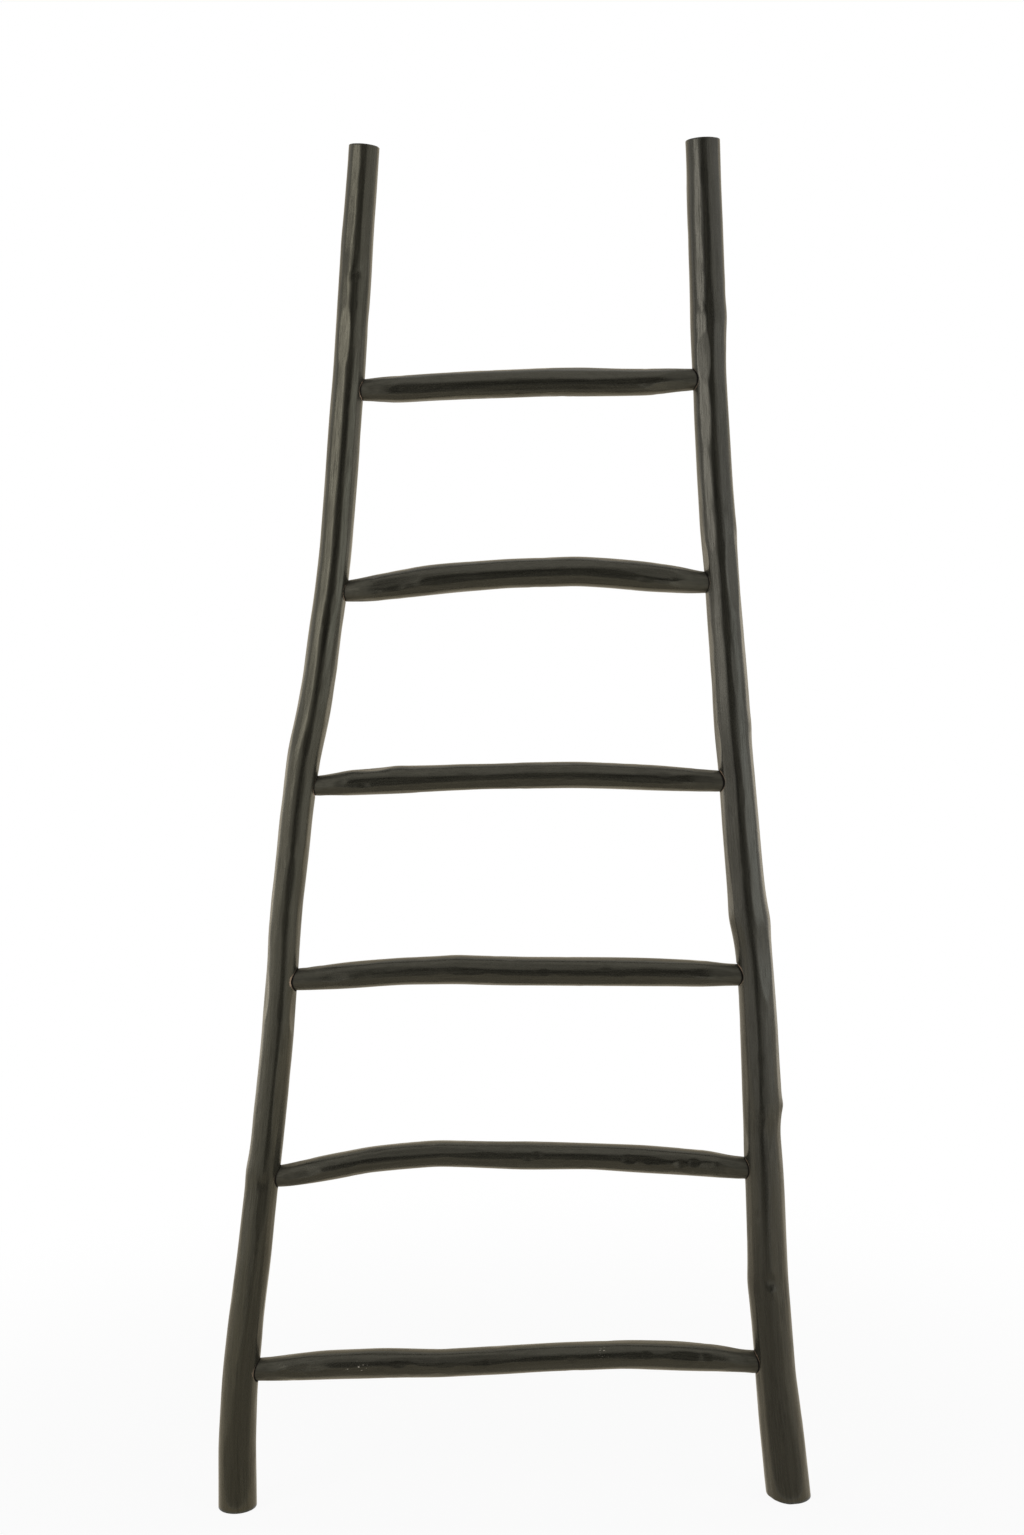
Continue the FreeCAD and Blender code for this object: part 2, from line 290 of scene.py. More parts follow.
rightPole = {
    "node": "right_stile", "outer": 1, "seed": 23, "shift": 3.7,
    "topSlope": 2.0, "headLift": 1.2, "soleWear": 4.5,
    "shaves": [
        (1720, -0.50, 90, 0.5), (1625, -0.47, 60, 0.7), (1552, -0.50, 32, 1.3), (1512, -0.40, 40, 2.5),
        (1440, -0.45, 55, 1.4), (1340, -0.48, 60, 0.7), (1288, -0.48, 36, 0.9), (1700, 0.5, 100, 0.6),
        (1450, 0.6, 90, 0.7), (1228, 0.62, 56, 2.2), (1243, -0.93, 28, 1.4), (1100, -0.5, 110, 0.8),
        (1000, -0.93, 28, 1.3), (716, 0.5, 56, 2.0), (900, 0.5, 100, 0.9), (830, -0.6, 70, 0.9),
        (600, -0.4, 90, 0.7), (470, -0.96, 22, 1.3), (350, 0.4, 70, 0.8), (150, -0.3, 110, 0.8),
    ],
    "knots": [
        (1566, 0.95, 16, 0.9), (1574, -0.42, 6, 0.8), (1283, 0.95, 16, 0.8),
        (1024, 0.96, 14, 1.0), (764, 0.96, 16, 1.0), (768, -0.97, 14, 0.8),
        (520, 0.98, 9, 1.6), (292, 0.08, 9, -1.7), (279, 0.08, 6, 0.7), (287, -0.97, 18, 0.8),
    ],
    "drift": [
        (0, 1.0), (150, 1.0), (250, 0.6), (300, 0.0), (570, 0.2), (630, 0.9), (680, 0.8), (760, 0.0),
        (850, -0.4), (890, 0.0), (940, 0.7), (970, 0.0), (1010, -0.8), (1080, 0.0), (1300, 0.0),
        (1360, -0.8), (1420, -0.6), (1480, 0.0), (1800, 0.0),
    ],
}


def poleFacing(across):
    return math.asin(across) - math.pi / 2


def readPole(spec):
    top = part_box(spec["node"])[1][2]
    places = np.arange(poleDetail["firstCut"] * mm, top - poleDetail["topClear"] * mm,
                       poleDetail["cutStep"] * mm)
    lows, highs = sliceNode(spec["node"], Vector((0, 0, 1)), places)
    radius = (highs[:, 1] - lows[:, 1]) / 2
    depth = (highs[:, 1] + lows[:, 1]) / 2
    outerEdge = lows[:, 0] if spec["outer"] < 0 else highs[:, 0]
    side = outerEdge - spec["outer"] * radius
    heights, drift = np.array(spec["drift"]).T * mm
    side = side + np.interp(places, heights, drift)
    radius = radius + poleDetail["swell"] * mm
    span = poleDetail["softSpan"] * mm
    # carry the ends on to the sole and the top
    along = np.concatenate(([0.0], places, [top]))
    near = poleDetail["endRun"]
    far = -1 - near
    full = []
    for values in (side, depth, radius):
        run = softened(places, values, span)
        foot = run[0] - (run[near] - run[0]) / (places[near] - places[0]) * places[0]
        head = run[-1] + (run[-1] - run[far]) / (places[-1] - places[far]) * (top - places[-1])
        full.append(np.concatenate(([foot], run, [head])))
    return Limb(along, *full), top


def makePole(spec):
    limb, top = readPole(spec)
    rng = random.Random(spec["seed"])
    slope = math.radians(spec["topSlope"])
    headHeight = top + spec["headLift"] * mm - limb.radius[-1] * math.sin(slope)
    bm = roundBillet(poleDetail["segments"], int(headHeight / (poleDetail["ringStep"] * mm)))
    turn, share = billetGrid(bm)
    along = share * headHeight
    side, depth, radius = limb.at(along)
    shaves = [(z * mm, poleFacing(u), reach * mm, cut * mm) for z, u, reach, cut in spec["shaves"]]
    shaves += randomShaves(rng, 0, top, poleDetail["shaving"])
    knots = [(z * mm, poleFacing(u), s * mm, rise * mm) for z, u, s, rise in spec["knots"]]
    radius = radius + grownWaves(turn, along, rng, poleDetail)
    radius = radius + knotted(turn, along, radius, knots)
    radius = shaved(turn, along, radius, shaves)
    x = side + radius * np.cos(turn)
    y = depth + radius * np.sin(turn)
    headStart = headHeight - poleDetail["headRun"] * mm
    lean = math.tan(slope) * spec["outer"] * smoothstep(headStart, headHeight, along)
    z = along + lean * (x - side)
    # the inner edge of the sole is worn up
    inner = np.clip(-spec["outer"] * (x - side) / radius, 0, 1)
    worn = spec["soleWear"] * mm * inner ** poleDetail["soleCurve"]
    z = z + worn * (1 - smoothstep(0, poleDetail["soleRun"] * mm, along))
    setPlaces(bm, np.column_stack((x, y, z)))
    finishEnds(bm, poleDetail["rim"] * mm)
    spec["limb"] = limb
    spec["headHeight"] = headHeight
    return newPiece(spec["node"].replace("stile", "pole"), bm)


leftPiece = makePole(leftPole)
rightPiece = makePole(rightPole)
print("poles shaped:", len(leftPiece.data.vertices), len(rightPiece.data.vertices), "vertices")


# Rungs

rungDetail = {
    "segments": 64, "ringStep": 2.5, "softSpan": 26,
    "tip": 5, "cutStep": 4, "lineStep": 3,               # where the solid is read
    "inside": 12.0, "neck": 11.0,                        # how far an end goes in, and how long its taper is
    "roundAgain": (2, 14),                               # from the pole, where the shaving comes in
    "wave": 0.35, "waveLengths": (70, 300),
    # long flats, short flats and chatter marks: how many, from where, reach, depth
    "shaving": [(12, 0, (60, 150), (0.2, 0.6)), (18, 0, (18, 50), (0.2, 0.5)), (90, 0, (6, 16), (0.15, 0.5))],
    # the whittled taper of each end
    "taper": {"flats": 7, "wobble": 0.3, "place": (16, 30), "reach": (18, 26), "depth": (0.4, 0.9)},
}

# mouth: end radius at the left and right pole
# setBack: how far an end lies behind
# lift: place along (0 to 1), how far the grown line stands above the straight CAD runs
# shaves and nicks: place along, up the front (-1 bottom, 1 top), reach, depth
# knots: place, up, spread, rise
# flecks: spots that the stain missed, as place, up, length, height
rungs = [
    {"node": "rung_1", "seed": 31, "mouth": (13.7, 13.7), "setBack": (3, 0), "shift": 7.1, "swell": 1.0,
     "lift": [(0, -0.9), (0.12, -0.5), (0.2, 0.2), (0.3, 0.5), (0.45, 1.0), (0.56, 1.6),
              (0.65, 0.8), (0.72, 0.0), (0.8, -0.3), (0.9, 0.3), (1, 0.6)],
     "shaves": [(0.3, 0.5, 90, 0.8), (0.68, 0.45, 110, 0.9), (0.55, -0.45, 150, 0.8),
                (0.93, -0.5, 34, 1.3), (0.05, 0.1, 22, 1.2)],
     "nicks": [(0.715, 0.45, 8, 0.7), (0.10, -0.1, 11, 0.8), (0.06, 0.4, 9, 0.7)],
     "knots": [(0.69, 0.4, 5, -0.5)]},
    {"node": "rung_2", "seed": 37, "mouth": (13.2, 13.5), "setBack": (3, 1), "shift": 9.4, "swell": 1.0,
     "lift": [(0, 0.0), (0.1, -0.5), (0.2, 0.5), (0.32, 1.2), (0.45, 0.5), (0.6, 1.0), (0.73, 1.5),
              (0.84, 0.5), (0.93, 0.9), (1, 0.4)],
     "shaves": [(0.12, 0.2, 45, 1.5), (0.5, 0.55, 120, 0.8), (0.55, -0.5, 140, 0.8),
                (0.87, 0.3, 40, 1.3), (0.95, -0.3, 24, 1.1)],
     "nicks": [(0.14, -0.1, 13, 1.0), (0.10, 0.3, 9, 0.8), (0.91, 0.1, 10, 0.8), (0.96, 0.3, 8, 0.7)],
     "knots": [(0.21, -0.2, 9, 0.8)]},
    {"node": "rung_3", "seed": 41, "mouth": (12.3, 13.7), "setBack": (3, 0), "shift": 12.9, "swell": 0.7,
     "lift": [(0, -0.9), (0.06, -0.2), (0.2, 0.3), (0.4, 0.0), (0.55, 0.4), (0.7, 0.7), (0.85, 0.2),
              (1, -0.3)],
     "shaves": [(0.35, 0.5, 110, 0.7), (0.7, 0.5, 110, 0.8), (0.5, -0.5, 160, 0.8),
                (0.94, 0.2, 26, 1.0), (0.15, 0.98, 24, 1.2)],
     "nicks": [(0.06, 0.2, 10, 0.8), (0.12, -0.1, 9, 0.7), (0.9, 0.2, 9, 0.7)],
     "knots": [(0.085, 0.95, 12, 1.1), (0.2, 0.95, 12, 1.0)]},
    {"node": "rung_4", "seed": 43, "mouth": (13.9, 13.8), "setBack": (0, 0), "shift": 15.2, "swell": 0.8,
     "lift": [(0, -0.4), (0.07, -0.2), (0.2, 0.6), (0.35, 0.4), (0.5, -0.2), (0.65, 0.2), (0.78, 1.0),
              (0.86, 1.5), (0.95, 1.0), (1, 0.8)],
     "shaves": [(0.07, 0.1, 30, 1.2), (0.5, 0.5, 130, 0.8), (0.6, -0.5, 150, 0.8),
                (0.93, 0.3, 32, 1.1)],
     "nicks": [(0.075, 0.1, 10, 0.9), (0.56, 0.15, 9, 0.6), (0.7, 0.3, 10, 0.7), (0.95, 0.0, 9, 0.8)],
     "knots": [(0.36, 0.95, 20, 0.8)]},
    {"node": "rung_5", "seed": 47, "mouth": (13.6, 13.8), "setBack": (2, 1), "shift": 18.8, "swell": 0.4,
     "lift": [(0, 0.8), (0.08, 0.3), (0.15, -0.1), (0.25, 0.6), (0.35, -0.2), (0.5, -0.9), (0.6, -0.4),
              (0.75, 0.0), (0.84, 0.8), (0.92, 1.2), (1, 1.2)],
     "shaves": [(0.05, 0.1, 26, 1.4), (0.3, 0.5, 100, 0.8), (0.55, -0.4, 110, 0.8),
                (0.78, 0.2, 30, 1.0), (0.93, 0.0, 26, 1.3)],
     "nicks": [(0.535, 0.0, 9, 1.2), (0.555, 0.3, 8, 1.0), (0.75, 0.15, 10, 1.3), (0.775, -0.1, 8, 1.1),
               (0.86, 0.0, 9, 1.3), (0.89, 0.2, 8, 1.2), (0.935, 0.1, 8, 1.3), (0.965, -0.2, 7, 1.1),
               (0.06, 0.2, 9, 1.2)],
     "knots": [(0.53, -0.2, 8, 0.6), (0.88, 0.15, 5, -0.6)]},
    {"node": "rung_6", "seed": 53, "mouth": (14.3, 14.3), "setBack": (0, 1), "shift": 21.5, "swell": 0.2,
     "lift": [(0, 0.3), (0.1, 0.9), (0.2, 1.1), (0.35, 0.9), (0.5, 1.1), (0.62, 1.8), (0.75, 1.6),
              (0.9, 1.3), (1, 1.4)],
     "shaves": [(0.1, 0.1, 30, 1.1), (0.4, 0.5, 110, 0.8), (0.6, -0.4, 130, 0.8),
                (0.86, 0.3, 30, 1.2)],
     "nicks": [(0.28, 0.2, 10, 0.8), (0.31, 0.0, 9, 0.8), (0.46, 0.25, 9, 0.7), (0.63, 0.1, 10, 0.6),
               (0.78, 0.3, 9, 0.8), (0.895, 0.3, 12, 1.0), (0.1, 0.2, 12, 0.9), (0.05, -0.1, 9, 0.8)],
     "flecks": [(0.2, 0.12, 17, 6), (0.695, 0.42, 6, 7)],
     "knots": [(0.3, 0.1, 7, -0.6), (0.88, 0.2, 9, 0.8)]},
]


def rungFacing(up):
    return math.pi - math.asin(up)


def seatCrowns(seats):
    return [seat["crown"] for seat in seats]


def readSeats(spec):
    # where the rung goes into each pole, from its tenons and the poles they sit in
    lo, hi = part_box(spec["node"])
    tips = np.array([lo[0] + rungDetail["tip"] * mm, hi[0] - rungDetail["tip"] * mm])
    tipLow, tipHigh = sliceNode(spec["node"], Vector((1, 0, 0)), tips)
    seats = []
    for end, (pole, inward) in enumerate(((leftPole, 1), (rightPole, -1))):
        height = (tipLow[end, 2] + tipHigh[end, 2]) / 2
        depth = (tipLow[end, 1] + tipHigh[end, 1]) / 2
        side, _, radius = pole["limb"].at(height)
        seats.append({"rung": spec["node"], "inward": inward, "crown": side + inward * radius,
                      "y": depth + spec["setBack"][end] * mm, "z": height,
                      "radius": spec["mouth"][end] * mm})
    return seats


def readRung(spec):
    # mouths first, then the branch between them
    seats = readSeats(spec)
    start, end = seatCrowns(seats)
    neck = rungDetail["neck"] * mm
    places = np.arange(start + neck, end - neck, rungDetail["cutStep"] * mm)
    lows, highs = sliceNode(spec["node"], Vector((1, 0, 0)), places)
    shares, lift = np.array(spec["lift"]).T
    lift = np.interp((places - start) / (end - start), shares, lift) * mm
    for seat, row in zip(seats, (spec["lift"][0], spec["lift"][-1])):
        seat["z"] += row[1] * mm
    read = {
        "z": (lows[:, 2] + highs[:, 2]) / 2 + lift,
        "y": (lows[:, 1] + highs[:, 1]) / 2,
        "radius": (highs[:, 1] - lows[:, 1]) / 2 + spec["swell"] * mm,
    }
    knownAt = np.concatenate(([start], places, [end]))
    inside = rungDetail["inside"] * mm
    along = np.arange(start - inside, end + inside, rungDetail["lineStep"] * mm)
    runs = []
    for key, run in read.items():
        known = np.concatenate(([seats[0][key]], run, [seats[1][key]]))
        runs.append(softened(along, np.interp(along, knownAt, known), rungDetail["softSpan"] * mm))
    return Limb(along, *runs), seats


def taperShaves(rng, crowns):
    taper = rungDetail["taper"]
    rows = []
    for crown, inward in zip(crowns, (1, -1)):
        for step in range(taper["flats"]):
            facing = step * 2 * math.pi / taper["flats"] + rng.uniform(-taper["wobble"], taper["wobble"])
            rows.append((crown + inward * rng.uniform(*taper["place"]) * mm, facing,
                         rng.uniform(*taper["reach"]) * mm, rng.uniform(*taper["depth"]) * mm))
    return rows


def makeRung(spec):
    limb, seats = readRung(spec)
    rng = random.Random(spec["seed"])
    crowns = seatCrowns(seats)
    span = crowns[1] - crowns[0]
    start = limb.along[0]
    length = limb.along[-1] - start
    bm = roundBillet(rungDetail["segments"], int(length / (rungDetail["ringStep"] * mm)))
    turn, share = billetGrid(bm)
    along = start + share * length
    side, depth, radius = limb.at(along)

    def placed(rows):
        return [(crowns[0] + t * span, rungFacing(u), a * mm, b * mm) for t, u, a, b in rows]

    shaves = placed(spec["shaves"]) + placed(spec["nicks"])
    shaves += randomShaves(rng, *crowns, rungDetail["shaving"])
    shaves += taperShaves(rng, crowns)
    grown = radius + grownWaves(turn, along, rng, rungDetail)
    grown = grown + knotted(turn, along, radius, placed(spec["knots"]))
    grown = shaved(turn, along, grown, shaves)
    # round again where it goes into the mouths
    low, high = rungDetail["roundAgain"]
    clear = smoothstep(low * mm, high * mm, np.minimum(along - crowns[0], crowns[1] - along))
    radius = radius + (grown - radius) * clear
    y = depth + radius * np.cos(turn)
    z = side + radius * np.sin(turn)
    setPlaces(bm, np.column_stack((along, y, z)))
    finishEnds(bm, 0)
    spec["limb"] = limb
    spec["seats"] = seats
    return newPiece(spec["node"].replace("rung", "branch_rung"), bm)


rungPieces = [makeRung(spec) for spec in rungs]
print("rungs shaped:", sum(len(p.data.vertices) for p in rungPieces), "vertices")


# Socket mouths and brad holes in the poles

mouthCut = {"gap": 0.7, "depth": 16, "out": 30, "segments": 72}
# how far a hole was drilled off its rung: back, up (mm), and how much wider; then where on the
# rim the bare wood shows (0 front, 90 up, in degrees) and how much of it
mouthSlips = {
    ("rung_1", 1): (-0.5, -0.8, 0.4, -45, 1.0), ("rung_2", 1): (-0.5, -0.8, 0.4, -45, 0.9),
    ("rung_3", 1): (-0.4, -0.9, 0.4, -50, 0.9), ("rung_4", 1): (-0.8, 0.1, 0.4, 0, 0.8),
    ("rung_5", 1): (-0.1, -0.1, 0.1, 0, 0.1), ("rung_6", 1): (-0.4, 0.0, 0.2, 0, 0.35),
    ("rung_1", -1): (-0.5, 0.2, 0.5, -60, 0.5), ("rung_2", -1): (0.0, 0.3, 0.1, 0, 0.1),
    ("rung_3", -1): (-0.7, 1.0, 0.6, 50, 0.9), ("rung_4", -1): (-0.8, 1.2, 0.7, 50, 1.0),
    ("rung_5", -1): (-0.4, 0.8, 0.3, 45, 0.6), ("rung_6", -1): (-0.2, 0.9, 0.3, 50, 0.7),
}
bradHole = {"width": 2.1, "below": 0.4, "above": 5.0}


def bradHeads(node):
    # the back end of each loose brad in the node
    bm = mergedCopy(node)
    heads = []
    seen = set()
    for start in bm.verts:
        if start in seen:
            continue
        island = []
        queue = [start]
        seen.add(start)
        while queue:
            vert = queue.pop()
            island.append(vert.co.copy())
            for edge in vert.link_edges:
                other = edge.other_vert(vert)
                if other not in seen:
                    seen.add(other)
                    queue.append(other)
        places = np.array(island)
        middle = (places.min(axis=0) + places.max(axis=0)) / 2
        heads.append(Vector((middle[0], places[:, 1].max(), middle[2])))
    bm.free()
    return heads


def cutMouths(piece, spec, bradNode):
    inward = -spec["outer"]
    seats = [seat for rung in rungs for seat in rung["seats"] if seat["inward"] == inward]
    cutters = bmesh.new()
    length = (mouthCut["depth"] + mouthCut["out"]) * mm
    for seat in seats:
        back, up, wider, seat["paleAt"], seat["pale"] = mouthSlips[(seat["rung"], inward)]
        seat["holeY"] = seat["y"] + back * mm
        seat["holeZ"] = seat["z"] + up * mm
        seat["holeRadius"] = seat["radius"] + (mouthCut["gap"] + wider) * mm
        middle = seat["crown"] + inward * (length / 2 - mouthCut["depth"] * mm)
        place = Matrix.Translation((middle, seat["holeY"], seat["holeZ"]))
        bmesh.ops.create_cone(cutters, cap_ends=True, segments=mouthCut["segments"],
                              radius1=seat["holeRadius"], radius2=seat["holeRadius"], depth=length,
                              matrix=place @ Matrix.Rotation(math.pi / 2, 4, "Y"))
    width = bradHole["width"] * mm
    tall = (bradHole["below"] + bradHole["above"]) * mm
    for head in bradHeads(bradNode):
        middle = head + Vector((0, tall / 2 - bradHole["below"] * mm, 0))
        bmesh.ops.create_cube(cutters, size=1, matrix=Matrix.Translation(middle)
                              @ Matrix.Diagonal((width, tall, width, 1)))
    carve(piece, cutters)
    return seats


leftSeats = cutMouths(leftPiece, leftPole, "left_tenon_brads")
rightSeats = cutMouths(rightPiece, rightPole, "right_tenon_brads")
print("mouths cut:", len(leftSeats) + len(rightSeats))


# Layers that the finishes read: straightened grain, how near a joint is, bare rims, missed spots, sawn ends

mouthEdge = {
    "far": 30, "innerSide": -0.2,                        # what counts as near, and as a pole's inner side
    "sliver": 36, "otherSliver": 24, "otherShare": 0.6,  # bare wood at one corner, and less at the other
    "sliverReach": 4,
    "holeRim": 0.2, "holeDepth": 2.5, "holeLevel": -4,   # what lies inside the hole
}
sawnBand = 0.3


def poleLayers(piece, spec, seats):
    mesh = piece.data
    co = vertPlaces(mesh)
    side, depth, radius = spec["limb"].at(co[:, 2])
    across = co[:, 0] - side
    behind = co[:, 1] - depth
    setLayer(mesh, "grain", np.column_stack((across, behind, co[:, 2] + spec["shift"])))
    rim = np.full(len(co), mouthEdge["far"] * mm)
    pale = np.zeros(len(co))
    for seat in seats:
        inner = across * seat["inward"] > mouthEdge["innerSide"] * radius
        off = np.hypot(co[:, 1] - seat["holeY"], co[:, 2] - seat["holeZ"]) - seat["holeRadius"]
        rim = np.where(inner, np.minimum(rim, off), rim)
        facing = np.degrees(np.arctan2(co[:, 2] - seat["holeZ"], seat["holeY"] - co[:, 1]))
        sliver = seat["pale"] * np.exp(-((facing - seat["paleAt"]) / mouthEdge["sliver"]) ** 2)
        share = mouthEdge["otherShare"] * seat["pale"]
        sliver += share * np.exp(-((facing + seat["paleAt"]) / mouthEdge["otherSliver"]) ** 2)
        pale = np.where(inner & (off < mouthEdge["sliverReach"] * mm), np.maximum(pale, sliver), pale)
    deep = np.hypot(across, behind) < radius - mouthEdge["holeDepth"] * mm
    inHole = (rim < mouthEdge["holeRim"] * mm) & deep
    setLayer(mesh, "mouth", np.where(inHole, mouthEdge["holeLevel"] * mm, rim))
    setLayer(mesh, "pale", pale)
    topPlane = spec["headHeight"] + math.tan(math.radians(spec["topSlope"])) * spec["outer"] * across
    onEnd = (np.abs(co[:, 2] - topPlane) < sawnBand * mm) | (co[:, 2] < sawnBand * mm)
    setLayer(mesh, "sawn", onEnd.astype(float))
    smoothShade(mesh)


def rungLayers(piece, spec):
    mesh = piece.data
    co = vertPlaces(mesh)
    side, depth, radius = spec["limb"].at(co[:, 0])
    setLayer(mesh, "grain", np.column_stack((co[:, 1] - depth, co[:, 2] - side, co[:, 0] + spec["shift"])))
    gaps = []
    for pole in (leftPole, rightPole):
        poleSide, poleDepth, poleRadius = pole["limb"].at(co[:, 2])
        gaps.append(np.hypot(co[:, 0] - poleSide, co[:, 1] - poleDepth) - poleRadius)
    setLayer(mesh, "mouth", np.minimum(*gaps))
    start, end = seatCrowns(spec["seats"])
    fleck = np.zeros(len(co))
    for place, up, length, height in spec.get("flecks", []):
        off = (co[:, 0] - start - place * (end - start)) / (length * mm)
        away = np.hypot(off, (co[:, 2] - side - up * radius) / (height * mm))
        fleck = np.maximum(fleck, np.where(co[:, 1] < depth, np.exp(-away ** 2), 0))
    setLayer(mesh, "fleck", fleck)
    setLayer(mesh, "sawn", np.zeros(len(co)))
    smoothShade(mesh)


poleLayers(leftPiece, leftPole, leftSeats)
poleLayers(rightPiece, rightPole, rightSeats)
for piece, spec in zip(rungPieces, rungs):
    rungLayers(piece, spec)
print("layers set")


# Finishes

class Wire:
    # a shader socket that takes part in plain sums
    def __init__(self, tree, socket):
        self.tree = tree
        self.socket = socket

    def make(self, kind, settings=None, sockets=None, out=0):
        node = self.tree.nodes.new(kind)
        for name, value in (settings or {}).items():
            setattr(node, name, value)
        for name, value in (sockets or {}).items():
            if isinstance(value, Wire):
                self.tree.links.new(value.socket, node.inputs[name])
            else:
                node.inputs[name].default_value = value
        return Wire(self.tree, node.outputs[out] if len(node.outputs) else None)

    def sum(self, operation, first, second):
        return self.make("ShaderNodeMath", {"operation": operation}, {0: first, 1: second})

    def __add__(self, other):
        return self.sum("ADD", self, other)

    def __radd__(self, other):
        return self.sum("ADD", other, self)

    def __sub__(self, other):
        return self.sum("SUBTRACT", self, other)

    def __rsub__(self, other):
        return self.sum("SUBTRACT", other, self)

    def __mul__(self, other):
        return self.sum("MULTIPLY", self, other)

    def __rmul__(self, other):
        return self.sum("MULTIPLY", other, self)

    def step(self, low, high):
        return self.make("ShaderNodeMapRange", {"interpolation_type": "SMOOTHSTEP"},
                         {"Value": self, "From Min": low, "From Max": high})

    def scaled(self, factors):
        return self.make("ShaderNodeVectorMath", {"operation": "MULTIPLY"}, {0: self, 1: factors})

    def blend(self, first, second):
        # this wire is the share of the second colour
        return self.make("ShaderNodeMix", {"data_type": "RGBA"}, {0: self, 6: first, 7: second}, 2)

    def noise(self, scale, detail, roughness):
        return self.make("ShaderNodeTexNoise", None, {
            "Vector": self, "Scale": scale, "Detail": detail, "Roughness": roughness})

    def along(self, stretch, scale, detail, roughness):
        # noise drawn out along the grain
        return self.scaled((1, 1, stretch)).noise(scale, detail, roughness)


def newFinish(name):
    finish = bpy.data.materials.new(name)
    finish.use_nodes = True
    finish.node_tree.nodes.clear()
    return finish, Wire(finish.node_tree, None)


def closeFinish(start, shader):
    start.make("ShaderNodeOutputMaterial", None, {"Surface": shader})


stainLook = {
    "deep": (0.0100, 0.0095, 0.0070, 1), "thin": (0.0265, 0.0250, 0.0180, 1),
    "brown": (0.036, 0.030, 0.020, 1), "bare": (0.42, 0.29, 0.20, 1), "sawn": (0.024, 0.021, 0.016, 1),
    # the darkest colour on the next line is painted shade, for the crack round a joint
    "missed": (0.55, 0.50, 0.42, 1), "paintedCrackShade": (0.009, 0.0075, 0.006, 1), "tint": (1.0, 0.95, 0.76, 1),
    # shine is for the satin and the dull stain; dry is how much of the dull one there is
    "shine": (0.68, 0.36), "gloss": 0.25, "dry": 0.9, "dryStretch": 0.045, "endWear": 0.0,
}
# stretch along the grain, scale, detail, roughness
stainGrain = {
    "streak": (0.035, 260, 5, 0.62), "fibre": (0.02, 1100, 3, 0.6), "cloud": (0.3, 38, 3, 0.55),
    "pore": (0.12, 1500, 2, 0.5), "missed": (0.4, 560, 2, 0.6),
    "dry": (640, 5, 0.7), "chip": (420, 3, 0.6),         # these two have no stretch of their own
}
# where each mark begins and where it is full
stainMarks = {
    "tone": (0.3, 0.75), "wornCloud": (0.5, 0.78), "wornStreak": (0.42, 0.7), "pore": (0.62, 0.75),
    "bare": (0.0006, -0.0002), "missed": (0.64, 0.67), "fleck": (0.15, 0.6), "whittled": (0.046, 0.02),
    "dry": (0.4, 0.66), "dryCloud": (0.3, 0.7), "crackShade": (0.0013, 0.0),
}
# how strongly each mark shows, in the colour, the roughness and the relief
stainShares = {"fibre": 0.25, "worn": 0.2, "rings": 0.6, "bare": 0.85, "dryLeast": 0.25, "dryCloud": 0.7}
stainRough = {"streak": 0.16, "cloud": 0.14, "sawn": 0.25, "bare": 0.3, "whittled": 0.2, "dull": 0.2}
stainRelief = {"fibre": 0.5, "streak": 0.8, "pore": -0.5, "rings": 0.6, "strength": 0.5, "depth": 0.1}
sawnRings = {"Scale": 190, "Distortion": 2.5, "Detail": 2, "Detail Scale": 1.5}
# in metres: the width of a chipped rim and how far these edges wander
ragged = {"chip": 0.0011, "chipWander": 0.004, "whittleWander": 0.05, "crackShadeWander": 0.0012}


